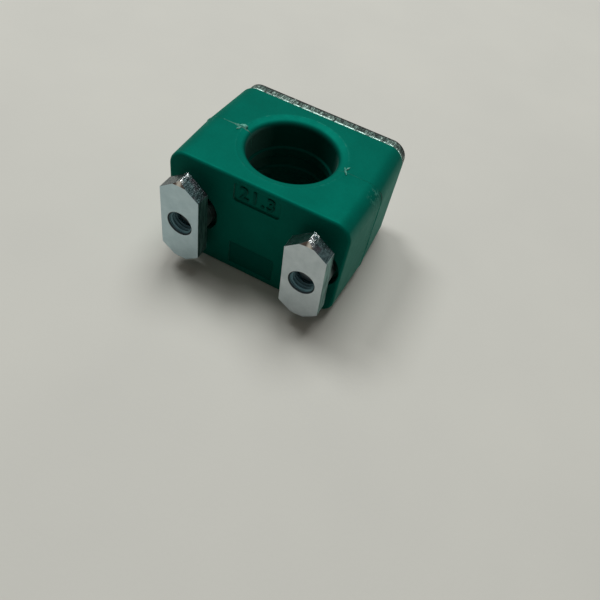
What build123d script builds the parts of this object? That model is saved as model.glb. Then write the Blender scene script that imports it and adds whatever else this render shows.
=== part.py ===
from build123d import *
import os
from math import cos, radians, tan

# Two-bolt tube clamp for one tube, with a cover plate and nuts for a C-shaped mounting rail.
#
# Frame: origin on the tube's axis at the middle of the clamp's width. +Z runs along the tube,
# X along the clamp from bolt to bolt, -Y points to the rail and +Y to the cover plate.
# The clamp stands on one of the two faces that the bore opens through.

# Tube and clamp halves
tube_radius = 10.65            # a 21.3 mm tube
mouth_width = 2.45             # radial width of each mouth, outside the bore's wall
lead_in_angle = 18.0           # the mouth slopes in this much from the end face
throat_rounding = 1.6          # from the mouth's slope to the bore's wall
clamp_width = 30.4             # along the tube
half_height = 16.85            # from the parting face to the seat of one half
parting_length = 48.4          # across both bolts, at the parting face
seat_length = 47.2             # the same at the seat: the ends carry mould draft
end_corner_radius = 4.7        # corners seen along the bolts
seat_edge_radius = 0.8         # soft edge round each seat

# Ribs that stand in from the bore's wall and grip the tube
rib_count = 3
rib_spacing = 6.0
rib_base_width = 3.0
rib_height = 0.5
rib_flank_angle = 45.0

# Pockets moulded into each seat
collar_pocket_radius = 6.4     # round pocket that takes a nut's collar
collar_pocket_depth = 2.2
name_recess_length = 12.1      # left bare
name_recess_width = 5.3
name_recess_depth = 0.5
name_recess_offset = 11.1      # from the middle of the seat, along the tube
panel_recess_length = 12.6
panel_recess_width = 7.9
panel_recess_depth = 0.25
panel_recess_offset = -9.35
recess_corner_radius = 0.8

# Bolts
bolt_spacing = 33.0
bolt_radius = 3.0
bolt_length = 40.0             # under the head
bolt_end_chamfer = 0.7
head_flats = 10.0              # hexagon, across flats
head_height = 4.0
head_chamfer_radius = 4.75     # flat disc left on top of the head
head_chamfer_angle = 30.0
bolt_hole_clearance = 0.3      # radial, in the clamp halves and the cover plate

# Cover plate
plate_thickness = 3.0
plate_inset = 0.5              # of the plate's outline inside the seat's, all round
plate_edge_radius = 0.3

# Rail nuts: a bar with roof-shaped ends that locks behind the rail's lips, and a round collar
nut_width = 10.4               # passes through the rail's slot
nut_side_length = 18.2         # straight part of the long sides
nut_length = 26.0              # over the two ridges
nut_thickness = 4.0
nut_face_radius = 11.8         # flat disc left by the turned chamfer
nut_chamfer_angle = 30.0
nut_edge_radius = 0.25
collar_radius = 5.2
collar_gap = 2.6               # room for the rail's lips between seat and nut
collar_in_pocket = 1.9         # how far the collar reaches into the pocket
collar_chamfer = 0.3
thread_clearance = 0.05        # radial, between the bolt and the plain bore of the nut
nut_countersink = 0.4
right_nut_turn = 2.6           # the right nut sits slightly turned on its bolt, in degrees
left_nut_turn = -0.5

bolt_hole_radius = bolt_radius + bolt_hole_clearance
thread_bore_radius = bolt_radius + thread_clearance
bore_wall_radius = tube_radius + rib_height
mouth_radius = bore_wall_radius + mouth_width
mouth_depth = mouth_width * tan(radians(lead_in_angle))

# Planes: their z axes point out of the clamp, away from the parting face
rail_side = Plane(origin=(0, 0, 0), x_dir=(1, 0, 0), z_dir=(0, -1, 0))
cover_side = Plane(origin=(0, 0, 0), x_dir=(1, 0, 0), z_dir=(0, 1, 0))


def moulded_half(side):
    """One clamp half: drafted block, ribbed half bore with two mouths, bolt holes, pockets."""
    seat = side.offset(half_height)
    end_view = Plane(origin=side.origin, x_dir=side.x_dir, z_dir=-side.y_dir)
    along_tube = Axis(side.origin, side.y_dir)
    across_bolts = Axis(side.origin, side.x_dir)
    outward = Axis(side.origin, side.z_dir)

    with BuildPart() as half:
        with BuildSketch(end_view):
            with BuildLine():
                Polyline(
                    (-parting_length / 2, 0),
                    (parting_length / 2, 0),
                    (seat_length / 2, half_height),
                    (-seat_length / 2, half_height),
                    close=True,
                )
            make_face()
        extrude(amount=clamp_width / 2, both=True)
        drafted_edges = (
            half.edges().filter_by(along_tube, reverse=True).filter_by(across_bolts, reverse=True)
        )
        fillet(drafted_edges, radius=end_corner_radius)
        fillet(half.faces().sort_by(outward)[-1].edges(), radius=seat_edge_radius)

        # Half section of the bore: a ribbed wall between two mouths that slope in and round over
        with BuildSketch(side) as bore_section:
            with BuildLine():
                Polyline(
                    (0, -clamp_width / 2),
                    (mouth_radius, -clamp_width / 2),
                    (bore_wall_radius, mouth_depth - clamp_width / 2),
                    (bore_wall_radius, clamp_width / 2 - mouth_depth),
                    (mouth_radius, clamp_width / 2),
                    (0, clamp_width / 2),
                    close=True,
                )
            make_face()
            fillet(bore_section.vertices().group_by(Axis.X)[1], radius=throat_rounding)
            with Locations((bore_wall_radius - rib_height / 2, 0)):
                with GridLocations(0, rib_spacing, 1, rib_count):
                    Trapezoid(
                        rib_base_width,
                        rib_height,
                        rib_flank_angle,
                        rotation=90,
                        mode=Mode.SUBTRACT,
                    )
        revolve(axis=along_tube, mode=Mode.SUBTRACT)

        with Locations(seat):
            with GridLocations(bolt_spacing, 0, 2, 1):
                CounterBoreHole(bolt_hole_radius, collar_pocket_radius, collar_pocket_depth)

        with BuildSketch(seat):
            with Locations((0, name_recess_offset)):
                RectangleRounded(name_recess_length, name_recess_width, recess_corner_radius)
        extrude(amount=-name_recess_depth, mode=Mode.SUBTRACT)

        with BuildSketch(seat):
            with Locations((0, panel_recess_offset)):
                RectangleRounded(panel_recess_length, panel_recess_width, recess_corner_radius)
        extrude(amount=-panel_recess_depth, mode=Mode.SUBTRACT)
    return half


def hex_bolt(bolt_x):
    """Hexagon-head bolt with a turned chamfer on the head and a chamfered end."""
    under_head = Plane(
        origin=(bolt_x, half_height + plate_thickness, 0), x_dir=(1, 0, 0), z_dir=(0, 1, 0)
    )
    radial_view = Plane(origin=under_head.origin, x_dir=(1, 0, 0), z_dir=(0, 0, 1))
    head_corner_radius = head_flats / 2 / cos(radians(30))
    chamfer_drop = (head_corner_radius - head_chamfer_radius) * tan(radians(head_chamfer_angle))

    with BuildPart() as bolt:
        with BuildSketch(under_head):
            RegularPolygon(head_flats / 2, 6, major_radius=False)
        extrude(amount=head_height)
        with BuildSketch(radial_view):
            with BuildLine():
                Polyline(
                    (0, 0),
                    (head_corner_radius, 0),
                    (head_corner_radius, head_height - chamfer_drop),
                    (head_chamfer_radius, head_height),
                    (0, head_height),
                    close=True,
                )
            make_face()
        revolve(axis=Axis(under_head.origin, under_head.z_dir), mode=Mode.INTERSECT)
        with BuildSketch(under_head):
            Circle(bolt_radius)
        extrude(amount=-bolt_length)
        chamfer(bolt.faces().sort_by(Axis.Y)[0].edges(), bolt_end_chamfer)
    return bolt


def rail_nut(bolt_x, turn):
    """Nut that drops through the rail's slot and locks behind its lips after a quarter turn."""
    nut_back = -half_height - collar_gap
    turned_x = Vector(1, 0, 0).rotate(Axis.Y, -turn)
    back = Plane(origin=(bolt_x, nut_back, 0), x_dir=turned_x, z_dir=(0, -1, 0))
    radial_view = Plane(origin=back.origin, x_dir=turned_x, z_dir=-back.y_dir)
    chamfer_drop = (nut_length / 2 - nut_face_radius) * tan(radians(nut_chamfer_angle))

    with BuildPart() as nut:
        with BuildSketch(back):
            with BuildLine():
                Polyline(
                    (nut_width / 2, -nut_side_length / 2),
                    (nut_width / 2, nut_side_length / 2),
                    (0, nut_length / 2),
                    (-nut_width / 2, nut_side_length / 2),
                    (-nut_width / 2, -nut_side_length / 2),
                    (0, -nut_length / 2),
                    close=True,
                )
            make_face()
        extrude(amount=nut_thickness)
        fillet(nut.edges().filter_by(Axis.Y), radius=nut_edge_radius)
        with BuildSketch(radial_view):
            with BuildLine():
                Polyline(
                    (0, 0),
                    (nut_length / 2, 0),
                    (nut_length / 2, nut_thickness - chamfer_drop),
                    (nut_face_radius, nut_thickness),
                    (0, nut_thickness),
                    close=True,
                )
            make_face()
        revolve(axis=Axis(back.origin, back.z_dir), mode=Mode.INTERSECT)
        with BuildSketch(back):
            Circle(collar_radius)
        extrude(amount=-(collar_gap + collar_in_pocket))
        chamfer(nut.faces().sort_by(Axis.Y)[-1].edges(), collar_chamfer)
        with Locations(back.offset(nut_thickness)):
            CounterSinkHole(thread_bore_radius, thread_bore_radius + nut_countersink, None, 90)
    return nut


def write_piece(piece, name):
    """Labels one finished piece and writes its STEP file."""
    piece.part.label = name
    export_step(piece.part, f"parts/{name}.step")


lower_clamp_half = moulded_half(rail_side)
upper_clamp_half = moulded_half(cover_side)

# The cover plate spreads the load of both bolt heads over the upper half's seat.
plate_length = seat_length - 2 * plate_inset
plate_width = clamp_width - 2 * plate_inset
plate_corner_radius = end_corner_radius - plate_inset
with BuildPart() as cover_plate:
    with BuildSketch(cover_side.offset(half_height)):
        RectangleRounded(plate_length, plate_width, plate_corner_radius)
        with GridLocations(bolt_spacing, 0, 2, 1):
            Circle(bolt_hole_radius, mode=Mode.SUBTRACT)
    extrude(amount=plate_thickness)
    outer_face = cover_plate.faces().sort_by(Axis.Y)[-1]
    fillet(outer_face.outer_wire().edges(), plate_edge_radius)

left_bolt = hex_bolt(-bolt_spacing / 2)
right_bolt = hex_bolt(bolt_spacing / 2)
left_rail_nut = rail_nut(-bolt_spacing / 2, left_nut_turn)
right_rail_nut = rail_nut(bolt_spacing / 2, right_nut_turn)

os.makedirs("parts", exist_ok=True)
write_piece(lower_clamp_half, "lower_clamp_half")
write_piece(upper_clamp_half, "upper_clamp_half")
write_piece(cover_plate, "cover_plate")
write_piece(left_bolt, "left_bolt")
write_piece(right_bolt, "right_bolt")
write_piece(left_rail_nut, "left_rail_nut")
write_piece(right_rail_nut, "right_rail_nut")
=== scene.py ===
import math

import bmesh
import bpy
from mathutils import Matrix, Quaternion, Vector, noise


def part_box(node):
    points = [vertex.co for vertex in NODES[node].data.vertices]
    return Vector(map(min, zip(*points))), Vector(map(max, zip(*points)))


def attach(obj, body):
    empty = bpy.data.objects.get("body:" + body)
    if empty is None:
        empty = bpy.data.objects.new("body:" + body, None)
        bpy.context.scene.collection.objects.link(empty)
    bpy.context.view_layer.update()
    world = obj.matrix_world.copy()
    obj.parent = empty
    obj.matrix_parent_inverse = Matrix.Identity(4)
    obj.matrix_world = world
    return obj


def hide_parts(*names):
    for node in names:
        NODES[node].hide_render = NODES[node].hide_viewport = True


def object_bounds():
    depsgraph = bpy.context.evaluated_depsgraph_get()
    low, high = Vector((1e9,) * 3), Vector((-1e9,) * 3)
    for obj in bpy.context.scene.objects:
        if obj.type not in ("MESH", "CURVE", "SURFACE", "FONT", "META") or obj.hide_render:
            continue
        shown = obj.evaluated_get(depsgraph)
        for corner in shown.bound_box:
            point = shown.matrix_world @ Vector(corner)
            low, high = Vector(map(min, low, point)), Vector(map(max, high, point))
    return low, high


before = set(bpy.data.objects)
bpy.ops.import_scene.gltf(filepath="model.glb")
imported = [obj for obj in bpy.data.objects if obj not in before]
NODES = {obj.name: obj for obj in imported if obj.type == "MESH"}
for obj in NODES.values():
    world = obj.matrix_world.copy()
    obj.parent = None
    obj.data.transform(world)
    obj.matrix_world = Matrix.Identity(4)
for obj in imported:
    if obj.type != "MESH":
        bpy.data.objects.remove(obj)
CAD_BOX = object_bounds()
MM = 0.001

# Sizes of the part that the looks are fitted to, in mm
MOUTH_RADIUS = 13.6
BORE_WALL_RADIUS = 11.15
LEAD_IN_ANGLE = math.radians(18.0)
THROAT_ROUNDING = 1.6
CORNER_RADIUS = 4.7
NAME_RECESS_Z = 11.1
NAME_RECESS_DEPTH = 0.5
PANEL_RECESS_Z = -9.35
PANEL_HALF_LENGTH = 6.3        # along X
PANEL_HALF_WIDTH = 3.95        # along Z
BOLT_SPACING = 33.0
COLLAR_GAP = 2.6
NUT_BORE_RADIUS = 3.05
NUT_HOLE_RADIUS = NUT_BORE_RADIUS + 0.4        # at the wide end of the countersink
NUT_CHAMFER_ANGLE = math.radians(30.0)
THREAD_PITCH = 1.0

HALF_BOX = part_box("lower_clamp_half")
HALF_LENGTH = HALF_BOX[1].x / MM
HALF_WIDTH = HALF_BOX[1].z / MM
SEAT_Y = HALF_BOX[0].y / MM
PLATE_BACK_Y = -SEAT_Y


# ---------------------------------------------------------------- materials: small helpers

class Nodes:
    """A material's node tree, with short calls for the nodes used here."""

    def __init__(self, name):
        self.material = bpy.data.materials.new(name)
        self.material.use_nodes = True
        self.tree = self.material.node_tree
        self.shader = self.tree.nodes["Principled BSDF"]
        coordinates = self.add("ShaderNodeTexCoord")
        self.place = coordinates.outputs["Object"]
        self.facing = coordinates.outputs["Normal"]

    def add(self, kind, **settings):
        node = self.tree.nodes.new(kind)
        for key, value in settings.items():
            setattr(node, key, value)
        return node

    def link(self, source, target):
        self.tree.links.new(source, target)

    # Places and directions

    def stretched(self, scale):
        """The object's own coordinates, scaled apart along X, Y and Z."""
        mapping = self.add("ShaderNodeMapping")
        mapping.inputs["Scale"].default_value = scale
        self.link(self.place, mapping.inputs["Vector"])
        return mapping.outputs["Vector"]

    def axis(self, name, source=None):
        """One coordinate of the place, or of another vector."""
        node = self.add("ShaderNodeSeparateXYZ")
        self.link(source or self.place, node.inputs[0])
        return node.outputs[name]

    def tilt(self, name):
        """How far a face looks along an axis, either way: 0 to 1."""
        return self.math("ABSOLUTE", self.axis(name, self.facing))

    def distance(self, u, v):
        """The length of two offsets at a right angle."""
        squares = self.math("ADD", self.math("POWER", u, 2.0), self.math("POWER", v, 2.0))
        return self.math("POWER", squares, 0.5)

    # Numbers and masks

    def math(self, operation, *values):
        node = self.add("ShaderNodeMath", operation=operation)
        for socket, value in zip(node.inputs, values):
            if isinstance(value, (float, int)):
                socket.default_value = value
            else:
                self.link(value, socket)
        return node.outputs[0]

    def product(self, first, *others):
        for other in others:
            first = self.math("MULTIPLY", first, other)
        return first

    def spread(self, value, low, high, out_low=0.0, out_high=1.0):
        """Maps a value's range low..high onto out_low..out_high, clamped."""
        node = self.add("ShaderNodeMapRange")
        for key, number in (("From Min", low), ("From Max", high),
                            ("To Min", out_low), ("To Max", out_high)):
            node.inputs[key].default_value = number
        self.link(value, node.inputs["Value"])
        return node.outputs["Result"]

    def above(self, value, low_mm, high_mm, full=1.0):
        """A mask that rises from 0 at low_mm to full at high_mm."""
        return self.spread(value, low_mm * MM, high_mm * MM, 0.0, full)

    def below(self, value, low_mm, high_mm, full=1.0):
        """A mask that falls from full at low_mm to 0 at high_mm."""
        return self.spread(value, low_mm * MM, high_mm * MM, full, 0.0)

    def around(self, value, centre_mm, inner_mm, outer_mm, full=1.0):
        """A mask that is full within inner_mm of a centre and ends outer_mm from it."""
        offset = self.math("SUBTRACT", value, centre_mm * MM)
        return self.below(self.math("ABSOLUTE", offset), inner_mm, outer_mm, full)

    # Noise and colour

    def noise(self, size_mm, detail=3.0, roughness=0.55, vector=None):
        """Noise whose features are about size_mm across."""
        node = self.add("ShaderNodeTexNoise")
        node.inputs["Scale"].default_value = 1.0 / (size_mm * MM)
        node.inputs["Detail"].default_value = detail
        node.inputs["Roughness"].default_value = roughness
        self.link(vector or self.place, node.inputs["Vector"])
        return node.outputs["Fac"]

    def clouds(self, size_mm, detail=3.0, roughness=0.55, low=0.0, high=1.0):
        """Soft noise, its common range mapped onto low..high."""
        return self.spread(self.noise(size_mm, detail, roughness), 0.3, 0.7, low, high)

    def mix(self, factor, dark, pale):
        """Mixes two colours, each a tuple or another node's output."""
        node = self.add("ShaderNodeMix", data_type="RGBA")
        for socket, value in ((node.inputs[0], factor), (node.inputs[6], dark),
                              (node.inputs[7], pale)):
            if isinstance(value, tuple):
                socket.default_value = (*value, 1.0)
            else:
                self.link(value, socket)
        return node.outputs[2]

    # Surface

    def bump(self, height, depth_mm, before=None):
        """Bump of about depth_mm for a height of 1, on top of an earlier bump."""
        node = self.add("ShaderNodeBump")
        node.inputs["Distance"].default_value = depth_mm * MM
        self.link(height, node.inputs["Height"])
        if before:
            self.link(before, node.inputs["Normal"])
        return node.outputs["Normal"]

    def soft_edges(self, radius_mm):
        """Normals that round every sharp edge by about radius_mm."""
        node = self.add("ShaderNodeBevel", samples=6)
        node.inputs["Radius"].default_value = radius_mm * MM
        return node.outputs["Normal"]

    def scratches(self, stretch, depth_mm, edge_mm):
        """Softened edges, with fine scratches along the axis that is stretched least."""
        scratch = self.noise(1.0, 5.0, 0.7, self.stretched(stretch))
        return self.bump(scratch, depth_mm, self.soft_edges(edge_mm))

    def set(self, **values):
        """Sets the shader's own sockets, underscores standing for spaces."""
        for key, value in values.items():
            socket = self.shader.inputs[key.replace("_", " ")]
            if isinstance(value, bpy.types.NodeSocket):
                self.link(value, socket)
            elif isinstance(value, tuple):
                socket.default_value = (*value, 1.0)
            else:
                socket.default_value = value


# ---------------------------------------------------------------- green plastic

PLASTIC_GREEN = (0.0, 0.125, 0.090)
PLASTIC_DEEP = (0.0, 0.11, 0.079)
PLASTIC_GRAIN = (0.0, 0.04, 0.03)
PLASTIC_SCUFFS_AND_HIGHLIGHT = (0.06, 0.24, 0.19)
PLASTIC_SLOPE_SHEEN = (0.0, 0.19, 0.14)
PLASTIC_BORE_SHADE = (0.0, 0.03, 0.022)
PLASTIC_SEAT_SHADE = (0.0, 0.04, 0.032)
PLASTIC_END = (0.085, 0.21, 0.175)
PLASTIC_SEAM = (0.0, 0.008, 0.006)
PLASTIC_PANEL_SHADE = (0.0, 0.045, 0.034)
PLASTIC_GLOSS = 0.05           # specular level
PLASTIC_GLOSS_TINT = (0.0, 1.0, 0.80)
PLASTIC_METALLIC = 0.3         # keeps the gloss as green as the plastic

SLOPE_MIDDLE = -0.9            # of a mouth's slope, from its crease
SEAM_Y = 0.45                  # of the dark parting line down the ends
SCRATCHES_Y = -2.2             # of the scratches beside it


def mouths_painted_light_and_shade(n, colour):
    """A thin broken pale ring on each crease that is a painted highlight, slopes painted brighter
    as painted sheen, and the bore painted darker as painted shade.
    """
    from_crease = n.math("SUBTRACT", n.distance(n.axis("X"), n.axis("Y")), MOUTH_RADIUS * MM)
    ring = n.around(from_crease, 0.0, 0.05, 0.22)
    at_face = n.above(n.math("ABSOLUTE", n.axis("Z")), HALF_WIDTH - 0.25, HALF_WIDTH - 0.1)
    patchy = n.spread(n.noise(2.2, 3.0, 0.7), 0.50, 0.72, 0.0, 0.3)
    # The broken pale ring on the crease is a painted highlight
    colour = n.mix(n.product(ring, at_face, patchy), colour, PLASTIC_SCUFFS_AND_HIGHLIGHT)

    # The mouth's slope is painted brighter: painted sheen
    colour = n.mix(n.around(from_crease, SLOPE_MIDDLE, 0.3, 1.5, 0.3), colour, PLASTIC_SLOPE_SHEEN)
    # The bore is painted darker: painted shade inside it
    wall = BORE_WALL_RADIUS - MOUTH_RADIUS
    return n.mix(n.below(from_crease, wall + 0.1, wall + 0.7, 0.6), colour, PLASTIC_BORE_SHADE)


def panel_painted_shade(n, colour):
    """The floor of the lower recess in each seat is painted darker: painted shade in the recess.
    """
    along = n.around(n.axis("X"), 0.0, PANEL_HALF_LENGTH - 0.2, PANEL_HALF_LENGTH + 0.1)
    across = n.around(n.axis("Z"), PANEL_RECESS_Z, PANEL_HALF_WIDTH - 0.25,
                      PANEL_HALF_WIDTH + 0.05)
    seat = -SEAT_Y
    in_seat = n.above(n.math("ABSOLUTE", n.axis("Y")), seat - 0.55, seat - 0.45, 0.6)
    return n.mix(n.product(along, across, in_seat), colour, PLASTIC_PANEL_SHADE)


def clamp_plastic():
    """Green polypropylene: satin, with mould mottle, fine grain, painted highlight, sheen and
    shade at the mouths, painted shade on the seats, and scuffs at the ends.
    """
    n = Nodes("clamp_plastic")
    mottle = n.spread(n.noise(9.0, 4.0), 0.35, 0.65)
    grain = n.noise(0.5, 2.0)
    colour = n.mix(mottle, PLASTIC_DEEP, PLASTIC_GREEN)
    colour = n.mix(n.spread(grain, 0.3, 0.7, 0.0, 0.12), colour, PLASTIC_GRAIN)
    colour = mouths_painted_light_and_shade(n, colour)
    # Faces that look along Y, the seats, are painted darker: painted shade
    colour = n.mix(n.spread(n.tilt("Y"), 0.90, 0.98, 0.0, 0.2), colour, PLASTIC_SEAT_SHADE)

    # The ends are paler, with scratches along Z beside the dark parting line
    end = n.spread(n.tilt("X"), 0.75, 0.97)
    colour = n.mix(n.math("MULTIPLY", end, 0.6), colour, PLASTIC_END)
    near_end = n.above(n.math("ABSOLUTE", n.axis("X")), HALF_LENGTH - 3.2, HALF_LENGTH - 1.8)
    streaks = n.spread(n.noise(0.8, 3.0, 0.6, n.stretched((1.0, 1.0, 0.07))),
                       0.52, 0.58, 0.0, 0.75)
    scratched = n.product(n.around(n.axis("Y"), SCRATCHES_Y, 1.2, 3.0), near_end, streaks)
    colour = n.mix(scratched, colour, PLASTIC_SCUFFS_AND_HIGHLIGHT)
    seam = n.product(n.around(n.axis("Y"), SEAM_Y, 0.30, 0.50, 0.85), end, near_end)
    colour = n.mix(seam, colour, PLASTIC_SEAM)
    colour = panel_painted_shade(n, colour)

    normal = n.bump(grain, 0.012, n.soft_edges(0.3))
    normal = n.bump(n.noise(4.0, 2.0), 0.05, normal)
    relief = n.math("SUBTRACT", n.math("MULTIPLY", scratched, 0.5), seam)
    n.set(Base_Color=colour, Normal=n.bump(relief, 0.35, normal),
          Roughness=n.clouds(3.0, low=0.48, high=0.58),
          Metallic=n.spread(seam, 0.0, 0.8, PLASTIC_METALLIC, 0.0),
          Specular_IOR_Level=PLASTIC_GLOSS, Specular_Tint=PLASTIC_GLOSS_TINT)
    return n.material


FLASH_GREEN = (0.01, 0.18, 0.135)
FLASH_PALE = (0.05, 0.28, 0.22)
BURR_PALE = (0.22, 0.56, 0.46)
FLASH_GLOSS_TINT = (0.3, 1.0, 0.85)


def flash_plastic(name, whitened):
    """Torn and squeezed plastic of the parting line: green, with stress-whitened patches."""
    n = Nodes(name)
    white = n.spread(n.noise(0.8, 4.0, 0.7), 0.35, 0.62)
    n.set(Base_Color=n.mix(white, FLASH_GREEN, whitened), Roughness=0.6,
          Normal=n.bump(n.noise(0.25, 3.0), 0.03),
          Specular_IOR_Level=PLASTIC_GLOSS, Specular_Tint=FLASH_GLOSS_TINT)
    return n.material


# ---------------------------------------------------------------- zinc-plated steel

ALONG_X = (0.35, 4.0, 4.0)     # stretches noise into scratches
ALONG_Z = (4.0, 4.0, 0.35)
SPECK_SHARE = 0.55             # how dark a speck is beside its surroundings
BOLT_PALE, BOLT_DARK = (0.46, 0.49, 0.50), (0.34, 0.37, 0.38)
THREAD_PALE, THREAD_DARK = (0.20, 0.34, 0.37), (0.16, 0.27, 0.30)


def zinc(name, pale, dark, rough_low, rough_high):
    """Zinc-plated steel: bluish grey, matt, with faint clouds and fine scratches."""
    n = Nodes(name)
    colour = n.mix(n.clouds(2.5, 4.0, 0.6), dark, pale)
    specks = n.spread(n.noise(0.35, 3.0, 0.7), 0.55, 0.75, 0.0, 0.25)
    colour = n.mix(specks, colour, tuple(SPECK_SHARE * c for c in dark))
    n.set(Base_Color=colour, Metallic=1.0,
          Roughness=n.clouds(1.6, low=rough_low, high=rough_high),
          Normal=n.scratches(ALONG_Z, 0.006, 0.15))
    return n.material


# Two colours that stand together are the left nut's and the right nut's
NUT_FACE_DARK = (0.43, 0.55, 0.585), (0.49, 0.555, 0.575)
NUT_FACE_PALE = (0.51, 0.63, 0.665), (0.59, 0.65, 0.67)
NUT_LEFT_SLOPE_REFLECTION = (0.03, 0.045, 0.05), (0.30, 0.50, 0.47)
NUT_SPECK = (0.22, 0.25, 0.26)
NUT_SIDE_REFLECTION_DARK, NUT_SIDE_REFLECTION_PALE = (0.06, 0.13, 0.12), (0.24, 0.42, 0.39)
NUT_TORN_DARK, NUT_TORN_PALE = (0.045, 0.08, 0.085), (0.19, 0.29, 0.30)
NUT_STAIN = (0.11, 0.08, 0.10)
NUT_GLINT = (0.95, 1.0, 1.0)
NUT_COLLAR_SHADE_DARK, NUT_COLLAR_SHADE_PALE = (0.07, 0.10, 0.095), (0.22, 0.29, 0.28)
NUT_BURNT, NUT_BURNT_GLINT = (0.17, 0.13, 0.105), (1.0, 0.92, 0.78)
NUT_HOLE_RIM_HIGHLIGHT = (0.75, 0.80, 0.80)
NUT_BORE_WALL = (0.30, 0.48, 0.52)
NUT_COUNTERSINK_SHADE = (0.035, 0.05, 0.056)


def nut_faces(n, right):
    """Fronts and backs, the left nut a little bluer and darker, and streaked sides painted darker
    and greener as a painted reflection of the green clamp.
    """
    colour = n.mix(n.clouds(2.5, 4.0, 0.6), n.mix(right, *NUT_FACE_DARK),
                   n.mix(right, *NUT_FACE_PALE))
    specks = n.spread(n.noise(0.35, 3.0, 0.7), 0.56, 0.76, 0.0, 0.2)
    colour = n.mix(specks, colour, NUT_SPECK)
    streaks = n.noise(0.7, 3.0, 0.65, n.stretched((1.0, 1.0, 0.12)))
    # The sides' dark green is a painted reflection of the clamp
    streaked = n.mix(n.spread(streaks, 0.38, 0.62), NUT_SIDE_REFLECTION_DARK, NUT_SIDE_REFLECTION_PALE)
    return n.mix(n.spread(n.tilt("X"), 0.85, 0.95), colour, streaked)


def nut_slopes(n, right, tear, ridge):
    """Slopes of the roof: torn by the shears, stained, with bright glints beside the ridge."""
    torn = n.mix(n.spread(tear, 0.38, 0.62), NUT_TORN_DARK, NUT_TORN_PALE)
    torn = n.mix(n.spread(n.noise(3.0, 2.0), 0.5, 0.62, 0.0, 0.7), torn, NUT_STAIN)
    # Slopes that face left are painted darker on the left nut and paler green on the right nut:
    # painted reflections
    faces_left = n.spread(n.axis("X", n.facing), -0.5, -0.3, 0.6, 0.0)
    torn = n.mix(faces_left, torn, n.mix(right, *NUT_LEFT_SLOPE_REFLECTION))
    return n.mix(n.math("MULTIPLY", ridge, n.spread(tear, 0.47, 0.53)), torn, NUT_GLINT)


def nut_hole(n, colour, from_axis):
    """Countersink and bore: dark, the countersink painted near black as painted shade, with a thin
    pale rim that is a painted highlight.
    """
    # The thin pale rim is a painted highlight
    rim = n.below(from_axis, NUT_HOLE_RADIUS + 0.05, NUT_HOLE_RADIUS + 0.14, 0.25)
    colour = n.mix(rim, colour, NUT_HOLE_RIM_HIGHLIGHT)
    # The countersink is painted near black: painted shade
    in_hole = n.below(from_axis, NUT_HOLE_RADIUS - 0.03, NUT_HOLE_RADIUS + 0.01)
    on_countersink = n.above(from_axis, NUT_BORE_RADIUS, NUT_BORE_RADIUS + 0.05)
    return n.mix(in_hole, colour, n.mix(on_countersink, NUT_BORE_WALL, NUT_COUNTERSINK_SHADE))


def nut_zinc():
    """Zinc plate of the nuts: matt fronts, glossy torn slopes, brown turned chamfer, dark hole."""
    n = Nodes("nut_zinc")
    across = n.math("SUBTRACT", n.math("ABSOLUTE", n.axis("X")), BOLT_SPACING / 2 * MM)
    from_axis = n.distance(across, n.axis("Z"))
    across = n.math("ABSOLUTE", across)
    right = n.above(n.axis("X"), -5.0, 5.0)
    tear = n.noise(0.5, 4.0, 0.75, n.stretched((1.0, 0.35, 1.0)))
    slope = n.spread(n.tilt("Z"), 0.55, 0.7)
    ridge = n.below(across, 0.3, 1.1)
    colour = n.mix(slope, nut_faces(n, right), nut_slopes(n, right, tear, ridge))

    # Collar: turned, and painted darker than the flat faces as painted shade where it sits in the
    # clamp
    turning = n.spread(n.noise(0.5, 3.0, 0.6, n.stretched((0.15, 1.0, 0.15))), 0.4, 0.6)
    nut_back = SEAT_Y - COLLAR_GAP
    colour = n.mix(n.above(n.axis("Y"), nut_back, nut_back + 0.1), colour,
                   n.mix(turning, NUT_COLLAR_SHADE_DARK, NUT_COLLAR_SHADE_PALE))

    # Turned chamfer: burnt brown, with a painted highlight where it meets the ridge
    chamfer = n.math("COMPARE", n.tilt("Y"), math.cos(NUT_CHAMFER_ANGLE), 0.06)
    colour = n.mix(chamfer, colour,
                   n.mix(n.below(across, 0.25, 0.8), NUT_BURNT, NUT_BURNT_GLINT))
    colour = nut_hole(n, colour, from_axis)

    polished = n.math("MAXIMUM", slope, chamfer)
    rough = n.math("ADD", n.spread(polished, 0.0, 1.0, 0.45, 0.20), n.clouds(1.6, high=0.08))
    jagged = n.product(tear, slope, n.spread(ridge, 0.0, 1.0, 0.35, 1.0))
    n.set(Base_Color=colour, Metallic=1.0, Roughness=rough,
          Normal=n.bump(jagged, 0.30, n.scratches(ALONG_Z, 0.006, 0.15)))
    return n.material


PLATE_DARK, PLATE_PALE = (0.36, 0.40, 0.40), (0.47, 0.51, 0.51)
PLATE_TORN_DARK, PLATE_TORN_PALE = (0.03, 0.042, 0.038), (0.15, 0.23, 0.20)
PLATE_TORN_HIGHLIGHT = (0.50, 0.62, 0.57)
PLATE_OUTER_BAND = (0.025, 0.022, 0.022)
PLATE_LIP_HIGHLIGHT = (0.66, 0.95, 0.86)


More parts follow.
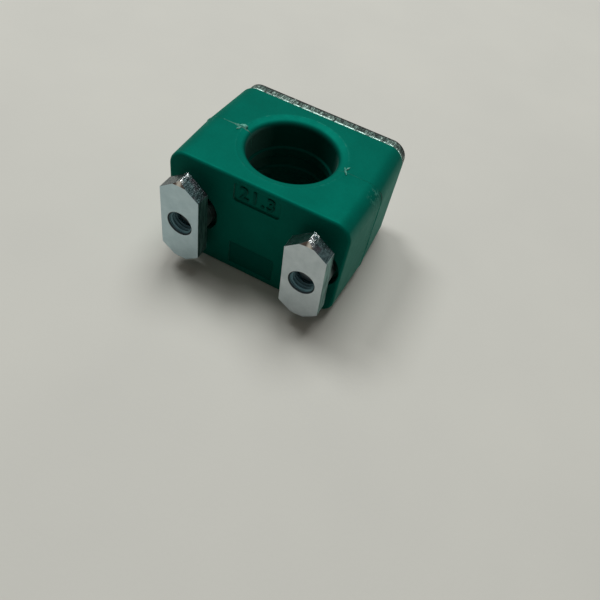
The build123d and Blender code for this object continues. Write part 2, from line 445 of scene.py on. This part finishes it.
def plate_zinc():
    """Zinc-plated sheet: clouded faces, and sheared edges with a bright lip that is a painted
    highlight and a torn band with painted highlights.
    """
    n = Nodes("plate_zinc")
    face = n.mix(n.clouds(3.5, 4.0, 0.6), PLATE_DARK, PLATE_PALE)

    # The edge, from the clamp outwards: a broken bright lip that is a painted highlight, a torn
    # band with painted highlights and a dark band
    edge = n.spread(n.tilt("Y"), 0.3, 0.6, 1.0, 0.0)
    torn = n.noise(0.5, 4.0, 0.7, n.stretched((1.0, 0.25, 1.0)))
    band = n.mix(n.spread(torn, 0.42, 0.60), PLATE_TORN_DARK, PLATE_TORN_PALE)
    # The brightest flecks of the torn band are painted highlights
    band = n.mix(n.spread(torn, 0.58, 0.66), band, PLATE_TORN_HIGHLIGHT)
    outer = n.above(n.axis("Y"), PLATE_BACK_Y + 2.0, PLATE_BACK_Y + 2.5, 0.85)
    band = n.mix(outer, band, PLATE_OUTER_BAND)
    broken = n.spread(n.noise(1.7, 4.0, 0.75, n.stretched((1.0, 0.3, 1.0))), 0.40, 0.52)
    lip = n.math("MULTIPLY", broken,
                 n.below(n.axis("Y"), PLATE_BACK_Y + 0.45, PLATE_BACK_Y + 0.70))
    # The bright lip is a painted highlight
    band = n.mix(lip, band, PLATE_LIP_HIGHLIGHT)

    rough_edge = n.math("MULTIPLY", edge, n.math("SUBTRACT", 1.0, lip))
    rough = n.math("ADD", n.clouds(1.6, low=0.32, high=0.46),
                   n.math("MULTIPLY", rough_edge, 0.08))
    relief = n.math("MULTIPLY", torn, rough_edge)
    n.set(Base_Color=n.mix(edge, face, band), Metallic=1.0, Roughness=rough,
          Normal=n.bump(relief, 0.35, n.scratches(ALONG_X, 0.008, 0.2)))
    return n.material


# ---------------------------------------------------------------- floor paint, and what wears what

FLOOR_DARK, FLOOR_PALE = (0.560, 0.570, 0.535), (0.590, 0.600, 0.560)


def pale_floor():
    """Plain pale table top, very slightly uneven in tone."""
    n = Nodes("floor_paint")
    n.set(Base_Color=n.mix(n.clouds(60.0), FLOOR_DARK, FLOOR_PALE), Roughness=0.75,
          Normal=n.bump(n.noise(1.2, 2.0), 0.02), Specular_IOR_Level=0.2)
    return n.material


PLASTIC = clamp_plastic()
FLASH = flash_plastic("flash_plastic", FLASH_PALE)
BURR = flash_plastic("burr_plastic", BURR_PALE)
NUT_ZINC = nut_zinc()
BOLT_ZINC = zinc("bolt_zinc", BOLT_PALE, BOLT_DARK, 0.28, 0.42)
THREAD_ZINC = zinc("thread_zinc", THREAD_PALE, THREAD_DARK, 0.66, 0.76)
PLATE_ZINC = plate_zinc()

MATERIAL_OF = {
    "lower_clamp_half": PLASTIC,
    "upper_clamp_half": PLASTIC,
    "cover_plate": PLATE_ZINC,
    "left_bolt": BOLT_ZINC,
    "right_bolt": BOLT_ZINC,
    "left_rail_nut": NUT_ZINC,
    "right_rail_nut": NUT_ZINC,
}
for node_name, material in MATERIAL_OF.items():
    for material_slot in NODES[node_name].material_slots:
        material_slot.material = material


# ---------------------------------------------------------------- pieces: small helpers

def add_object(name, data):
    """Puts a new object into the scene."""
    made = bpy.data.objects.new(name, data)
    bpy.context.scene.collection.objects.link(made)
    return made


def add_piece(name, vertices_mm, faces, material, body, smooth=True):
    """Makes a mesh piece from corners in mm and lets it ride on a body."""
    mesh = bpy.data.meshes.new(name)
    mesh.from_pydata([Vector(v) * MM for v in vertices_mm], [], faces)
    mesh.materials.append(material)
    mesh.polygons.foreach_set("use_smooth", [smooth] * len(mesh.polygons))
    mesh.update()
    piece = add_object(name, mesh)
    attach(piece, body)
    return piece


def grid_faces(rows, columns, wrap=False):
    """Faces of a grid of corners listed row by row, closed along each row if wrap is set."""
    last = columns if wrap else columns - 1
    return [(r * columns + c, r * columns + (c + 1) % columns,
             (r + 1) * columns + (c + 1) % columns, (r + 1) * columns + c)
            for r in range(rows - 1) for c in range(last)]


def even_steps(low, high, step):
    """Values from low to high, evenly spaced about step apart."""
    count = max(1, round((high - low) / step))
    return [low + (high - low) * k / count for k in range(count + 1)]


def wobble(place, size_mm, seed=0.0):
    """Smooth noise from -1 to 1 with features about size_mm across."""
    return noise.noise(Vector(place) / size_mm + Vector((seed, 17.3 * seed, 5.1)))


# ---------------------------------------------------------------- flash along the parting line

FLASH_STEP = 0.12              # between its sections, in mm
FLASH_ROOT = 0.03              # how deep its foot lies in the moulding
FLASH_LEAST = 0.012            # its least height
SWELL_PAST_CREASE = 1.0        # where it swells most
SWELL_REACH = 2.2
END_RIDGE = 0.13               # its height down the clamp's end


def parting_path(side):
    """Points (x, z) and outward directions in mm along the parting line of one end of the clamp,
    from inside the bore, over the mouth and the end face, round the corner and down the end."""
    path = []

    def arc(cx, cz, radius, start, stop, steps):
        for k in range(steps + 1):
            a = math.radians(start + (stop - start) * k / steps)
            direction = (math.cos(a), math.sin(a))
            path.append(((cx + radius * direction[0], cz + radius * direction[1]), direction))

    mouth_depth = (MOUTH_RADIUS - BORE_WALL_RADIUS) * math.tan(LEAD_IN_ANGLE)
    throat_x = BORE_WALL_RADIUS + THROAT_ROUNDING
    throat_z = (HALF_WIDTH - mouth_depth - THROAT_ROUNDING / math.cos(LEAD_IN_ANGLE)
                + THROAT_ROUNDING * math.tan(LEAD_IN_ANGLE))
    corner_x = HALF_LENGTH - CORNER_RADIUS
    corner_z = HALF_WIDTH - CORNER_RADIUS
    path.append(((BORE_WALL_RADIUS, throat_z - 3.0), (-1.0, 0.0)))
    arc(throat_x, throat_z, THROAT_ROUNDING, 180.0, 90.0 + math.degrees(LEAD_IN_ANGLE), 8)
    path.append(((MOUTH_RADIUS, HALF_WIDTH), (-math.sin(LEAD_IN_ANGLE / 2),
                                              math.cos(LEAD_IN_ANGLE / 2))))
    arc(corner_x, corner_z, CORNER_RADIUS, 90.0, 0.0, 12)
    arc(corner_x, -corner_z, CORNER_RADIUS, 0.0, -60.0, 6)
    return [((side * x, z), (side * nx, nz)) for (x, z), (nx, nz) in path]


def divided(path, step):
    """The path with points added so that none are more than step apart."""
    out = []
    for (p, n), (q, m) in zip(path, path[1:]):
        parts = max(1, math.ceil(math.dist(p, q) / step))
        for k in range(parts):
            t = k / parts
            mixed = Vector(n).lerp(Vector(m), t).normalized()
            out.append((Vector(p).lerp(Vector(q), t), mixed))
    return out


def flash_section(point, outward, swelling, seed):
    """The three corners of the flash at one point: foot, crest and foot."""
    place = (point.x, seed, point.y)
    past_crease = abs(point.x) - MOUTH_RADIUS
    swell = swelling * math.exp(-((past_crease - SWELL_PAST_CREASE) / SWELL_REACH) ** 2)
    swell *= 1.0 + 0.8 * wobble(place, 0.7, seed + 5)
    on_end = max(0.0, min(1.0, abs(point.x) - HALF_LENGTH + 1.5))
    ridge = END_RIDGE * on_end * (1.0 + 0.9 * wobble(place, 3.0, seed + 11))
    height = 0.03 + 0.05 * max(0.0, wobble(place, 2.6, seed)) + 0.02 * wobble(place, 0.5, seed)
    height += swell + ridge
    half_width = 0.05 + 0.03 * wobble(place, 1.1, seed + 3) + swell + 0.6 * ridge
    drift = 0.10 * wobble(place, 6.0, seed + 7)
    crest = drift + 0.05 * wobble(place, 0.7, seed + 9)
    foot = point - FLASH_ROOT * outward
    top = point + max(FLASH_LEAST, height) * outward
    return [(foot.x, drift - half_width, foot.y), (top.x, crest, top.y),
            (foot.x, drift + half_width, foot.y)]


def parting_flash(name, side, swelling, material, seed):
    """A ragged ridge where a little plastic was squeezed out between the mould's halves. It grows
    by the given swelling, in mm, next to the mouth's crease, and again down the clamp's end."""
    sections = divided(parting_path(side), FLASH_STEP)
    corners = []
    for point, outward in sections:
        corners += flash_section(point, outward, swelling, seed)
    add_piece(name, corners, grid_faces(len(sections), 3), material,
              "lower_half", smooth=False)


parting_flash("left_parting_flash", -1, 0.32, BURR, 1.0)
parting_flash("right_parting_flash", 1, 0.05, FLASH, 2.0)


# ---------------------------------------------------------------- torn flakes on the crease

BURR_ROWS, BURR_COLUMNS = 9, 6
BURR_THICKNESS = 0.09


def burr(name, centre, length, width, lift, turn, seed):
    """A small curled flake of plastic that stands off the crease, centre in mm on the end face."""
    spin = Quaternion((0, 0, 1), math.radians(turn))
    corners = []
    for layer in (0.0, BURR_THICKNESS):
        for r in range(BURR_ROWS):
            for c in range(BURR_COLUMNS):
                u = r / (BURR_ROWS - 1) - 0.5
                v = c / (BURR_COLUMNS - 1) - 0.5
                taper = 1.0 - 0.7 * abs(2 * u) ** 1.5
                place = (u * length, v * width * taper, seed)
                bend = lift * (1.0 - (2 * v) ** 2) * taper
                rough = 0.16 * wobble(place, 0.35, seed) + 0.10 * wobble(place, 0.9, seed)
                spun = Vector((place[0], place[1], 0.0))
                spun.rotate(spin)
                corners.append(Vector(centre) + spun + Vector((0, 0, bend + rough + layer)))
    outer = grid_faces(BURR_ROWS, BURR_COLUMNS)
    inner = [tuple(reversed(face)) for face in outer]
    one_layer = BURR_ROWS * BURR_COLUMNS
    faces = inner + [tuple(i + one_layer for i in face) for face in outer]
    add_piece(name, corners, faces, BURR, "lower_half")


burr("left_burr", (-13.7, 0.45, HALF_WIDTH + 0.05), 2.0, 1.3, 0.35, 20.0, 4.0)
burr("left_burr_tail", (-14.4, -0.95, HALF_WIDTH + 0.02), 1.4, 0.6, 0.22, 70.0, 5.0)
burr("right_burr", (13.9, 0.1, HALF_WIDTH + 0.05), 2.6, 0.5, 0.30, 122.0, 6.0)
burr("right_burr_arm", (14.0, 1.2, HALF_WIDTH + 0.05), 1.5, 0.4, 0.25, 70.0, 8.0)


# ---------------------------------------------------------------- screw threads and bolts

AROUND = 72                    # corners round a turned surface, a multiple of 6
SHARP_ANGLE = math.radians(28.0)
CENTRE_RADIUS = 0.6            # of the flat cap that closes a bolt's end
THREAD_STEP = THREAD_PITCH / 16
THREAD_HALF_ANGLE = math.radians(30.0)
BOLT_RADIUS = 2.95
BOLT_ROOT_RADIUS = 2.40
BOLT_CREST_HALF_WIDTH = 0.06
BOLT_THREAD_LENGTH = 18.0
BOLT_THREAD_RUNOUT = 1.2
BOLT_END_CHAMFER = 0.7
SHANK_STEP = 6.0
HEAD_FLATS = 10.0
HEAD_HEIGHT = 4.0
HEAD_STEP = 0.06
HEAD_CHAMFER_RADIUS = 4.75
HEAD_CHAMFER_ANGLE = math.radians(30.0)
NUT_CREST_RADIUS = 2.70
NUT_CREST_HALF_WIDTH = 0.20
NUT_THREAD_FADE = 0.5          # at both ends of a nut's thread
NUT_WALL_SUNK = 0.04           # how deep those ends lie in the bore's wall


def thread_depth(y, angle, crest_half_width):
    """How far a right-hand 60 degree thread's surface lies below its crest, at a place."""
    share = (y / THREAD_PITCH - angle / (2.0 * math.pi)) % 1.0
    from_crest = abs(share - 0.5) * THREAD_PITCH
    return max(0.0, from_crest - crest_half_width) / math.tan(THREAD_HALF_ANGLE)


def turned(name, axis_x, rows, material, body, closed=False):
    """A piece turned round an axis along Y at axis_x. Each row is (y, radius_at(angle))."""
    corners = []
    for y, radius_at in rows:
        for a in range(AROUND):
            angle = 2.0 * math.pi * a / AROUND
            radius = radius_at(angle)
            corners.append((axis_x + radius * math.sin(angle), y, radius * math.cos(angle)))
    faces = grid_faces(len(rows), AROUND, wrap=True)
    last = (len(rows) - 1) * AROUND
    if closed:
        faces += [(last + a, last + (a + 1) % AROUND, (a + 1) % AROUND, a) for a in range(AROUND)]
    else:
        faces += [tuple(range(AROUND)), tuple(range(last + AROUND - 1, last - 1, -1))]
    piece = add_piece(name, corners, faces, material, body)
    mesh = bmesh.new()
    mesh.from_mesh(piece.data)
    bmesh.ops.recalc_face_normals(mesh, faces=mesh.faces)
    mesh.to_mesh(piece.data)
    mesh.free()
    piece.data.set_sharp_from_angle(angle=SHARP_ANGLE)
    return piece


def constant(radius):
    """A round row for turned()."""
    return lambda angle: radius


def hexagon_radius(angle):
    """From the bolt's axis to the side of its head."""
    return HEAD_FLATS / 2 / math.cos((angle + math.pi / 6) % (math.pi / 3) - math.pi / 6)


def bolt_axis_x(low, high):
    return (low.x + high.x) / 2 / MM


def hex_bolt(name, node, body):
    """The bolt with its real thread: end chamfer, thread, plain shank and hexagon head."""
    low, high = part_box(node)
    end_y, top_y = low.y / MM, high.y / MM
    under_head = top_y - HEAD_HEIGHT
    thread_end = end_y + BOLT_THREAD_LENGTH
    end_radius = BOLT_RADIUS - BOLT_END_CHAMFER

    def thread(y):
        chamfer = end_radius + (y - end_y)
        runout = max(0.0, (thread_end - y) / BOLT_THREAD_RUNOUT)

        def radius_at(angle):
            depth = thread_depth(y, angle, BOLT_CREST_HALF_WIDTH)
            depth = min(depth, (BOLT_RADIUS - BOLT_ROOT_RADIUS) * min(1.0, runout))
            return min(BOLT_RADIUS - depth, chamfer)
        return radius_at

    def head(y):
        limit = HEAD_CHAMFER_RADIUS + (top_y - y) / math.tan(HEAD_CHAMFER_ANGLE)
        return lambda angle: min(hexagon_radius(angle), limit)

    rows = [(end_y, constant(CENTRE_RADIUS)), (end_y, constant(end_radius - 0.15))]
    rows += [(y, thread(y)) for y in even_steps(end_y, thread_end, THREAD_STEP)]
    rows += [(y, constant(BOLT_RADIUS))
             for y in even_steps(thread_end + 0.1, under_head, SHANK_STEP)]
    rows += [(under_head, hexagon_radius)]
    rows += [(y, head(y)) for y in even_steps(under_head + 0.02, top_y, HEAD_STEP)]
    rows += [(top_y, constant(HEAD_CHAMFER_RADIUS - 0.05)), (top_y, constant(CENTRE_RADIUS))]
    piece = turned(name, bolt_axis_x(low, high), rows, BOLT_ZINC, body)
    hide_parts(node)


def nut_thread(name, node, bolt_node, body):
    """The thread in the open front of a nut's bore: a ridge that winds in from the plain wall. It
    ends where the bolt begins, because the nut swivels there without travelling along it."""
    nut_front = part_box(node)[0].y / MM
    bolt_low, bolt_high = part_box(bolt_node)
    first_y, last_y = nut_front + 0.35, bolt_low.y / MM - 0.05

    def ridge(y):
        ends = min(1.0, (y - first_y) / NUT_THREAD_FADE, (last_y - y) / NUT_THREAD_FADE)

        def radius_at(angle):
            depth = thread_depth(y + THREAD_PITCH / 2, angle, NUT_CREST_HALF_WIDTH)
            height = (NUT_BORE_RADIUS - NUT_CREST_RADIUS) * max(0.0, ends)
            return min(NUT_BORE_RADIUS - 0.01, NUT_BORE_RADIUS - height + depth)
        return radius_at

    wall = constant(NUT_BORE_RADIUS + NUT_WALL_SUNK)
    rows = [(first_y, wall)]
    rows += [(y, ridge(y)) for y in even_steps(first_y, last_y, THREAD_STEP)]
    rows += [(last_y, wall)]
    turned(name, bolt_axis_x(bolt_low, bolt_high), rows, THREAD_ZINC, body,
           closed=True)


hex_bolt("left_bolt_threaded", "left_bolt", "left_bolt")
hex_bolt("right_bolt_threaded", "right_bolt", "right_bolt")
nut_thread("left_nut_thread", "left_rail_nut", "left_bolt", "left_nut")
nut_thread("right_nut_thread", "right_rail_nut", "right_bolt", "right_nut")


# ---------------------------------------------------------------- size number in the recess

DIGIT_HEIGHT = 3.6
DIGIT_RELIEF = 0.26
DIGIT_BEVEL = 0.07
DIGIT_THICKENING = 0.03
FONT_SIZE_FOR_HEIGHT = 1.38    # the font's size for a digit one unit high


def raised_number(name, text):
    """The tube's diameter in raised digits on the floor of the rail side's upper recess."""
    curve = bpy.data.curves.new(name, "FONT")
    curve.body = text
    curve.align_x = "CENTER"
    curve.align_y = "CENTER"
    curve.size = FONT_SIZE_FOR_HEIGHT * DIGIT_HEIGHT * MM
    curve.space_character = 1.12
    curve.extrude = DIGIT_RELIEF / 2 * MM
    curve.bevel_depth = DIGIT_BEVEL * MM
    curve.bevel_resolution = 2
    curve.offset = DIGIT_THICKENING * MM
    curve.resolution_u = 6
    shape = bpy.data.objects.new(name + "_curve", curve)
    mesh = bpy.data.meshes.new_from_object(shape)
    bpy.data.objects.remove(shape)
    mesh.materials.clear()
    mesh.materials.append(PLASTIC)
    piece = add_object(name, mesh)
    piece.rotation_euler = (math.radians(90.0), 0.0, 0.0)
    floor_y = SEAT_Y + NAME_RECESS_DEPTH
    piece.location = Vector((0.0, floor_y - DIGIT_RELIEF / 2, NAME_RECESS_Z)) * MM
    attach(piece, "lower_half")


raised_number("size_number", "21.3")


# ---------------------------------------------------------------- floor, light and camera

FLOOR_Z = CAD_BOX[0].z
FLOOR_HALF_SIZE = 1.5          # in metres, like all places in this section

LAMP_DISTANCE = 1.5
LAMP_COLOUR = (1.0, 0.99, 0.975)
ROOM_LIGHT = (0.135, 0.123, 0.11, 1.0)         # what the room sheds on matt surfaces
ROOM_SEEN = (0.30, 0.303, 0.30, 1.0)           # what is seen of it, and mirrored

CAMERA_PLACE = Vector((0.041854, -0.104966, 0.100705))
CAMERA_AIM = Vector((0.015053, -0.016447, -0.0152))
CAMERA_ROLL = math.radians(12.856)
CAMERA_LENS = 34.536           # focal length and sensor in mm
CAMERA_SENSOR = 36.0


def lay_floor():
    """The pale table top that the clamp stands on."""
    mesh = bpy.data.meshes.new("floor")
    corners = [(x * FLOOR_HALF_SIZE, y * FLOOR_HALF_SIZE, FLOOR_Z)
               for x, y in ((-1, -1), (1, -1), (1, 1), (-1, 1))]
    mesh.from_pydata(corners, [], [(0, 1, 2, 3)])
    mesh.materials.append(pale_floor())
    floor = add_object("floor", mesh)


def disc_lamp(name, azimuth, elevation, spread, watts):
    """A round soft lamp aimed at the clamp. Its disc spans spread degrees to each side."""
    a, e = math.radians(azimuth), math.radians(elevation)
    towards = Vector((math.cos(e) * math.cos(a), math.cos(e) * math.sin(a), math.sin(e)))
    lamp = bpy.data.lights.new(name, "AREA")
    lamp.shape = "DISK"
    lamp.size = 2.0 * LAMP_DISTANCE * math.tan(math.radians(spread))
    lamp.energy = watts
    lamp.color = LAMP_COLOUR
    holder = add_object(name, lamp)
    holder.location = towards * LAMP_DISTANCE
    holder.rotation_mode = "QUATERNION"
    holder.rotation_quaternion = (-towards).to_track_quat("-Z", "Y")


def room_light():
    """An even grey room, which sheds a little less light than it shows."""
    world = bpy.data.worlds.new("room")
    bpy.context.scene.world = world
    world.use_nodes = True
    tree = world.node_tree
    rays = tree.nodes.new("ShaderNodeLightPath")
    seen = rays.outputs["Is Camera Ray"]
    for kind in ("Is Glossy Ray", "Is Transmission Ray"):
        either = tree.nodes.new("ShaderNodeMath")
        either.operation = "MAXIMUM"
        tree.links.new(seen, either.inputs[0])
        tree.links.new(rays.outputs[kind], either.inputs[1])
        seen = either.outputs[0]
    room = tree.nodes.new("ShaderNodeMix")
    room.data_type = "RGBA"
    room.inputs[6].default_value = ROOM_LIGHT
    room.inputs[7].default_value = ROOM_SEEN
    tree.links.new(seen, room.inputs[0])
    tree.links.new(room.outputs[2], tree.nodes["Background"].inputs["Color"])


def photo_camera():
    """The camera, fitted to the photo's view."""
    lens = bpy.data.cameras.new("camera")
    lens.sensor_width = CAMERA_SENSOR
    lens.lens = CAMERA_LENS
    lens.clip_start = 0.01
    lens.clip_end = 10.0
    camera = add_object("camera", lens)
    camera.location = CAMERA_PLACE
    camera.rotation_mode = "QUATERNION"
    look = (CAMERA_AIM - CAMERA_PLACE).to_track_quat("-Z", "Y")
    camera.rotation_quaternion = look @ Quaternion((0.0, 0.0, 1.0), CAMERA_ROLL)
    bpy.context.scene.camera = camera


lay_floor()
disc_lamp("back_lamp", 95.0, 66.7, 16.7, 13.2)
disc_lamp("left_lamp", 159.0, 55.0, 9.5, 8.6)
room_light()
photo_camera()
bpy.context.scene.view_settings.view_transform = "Standard"
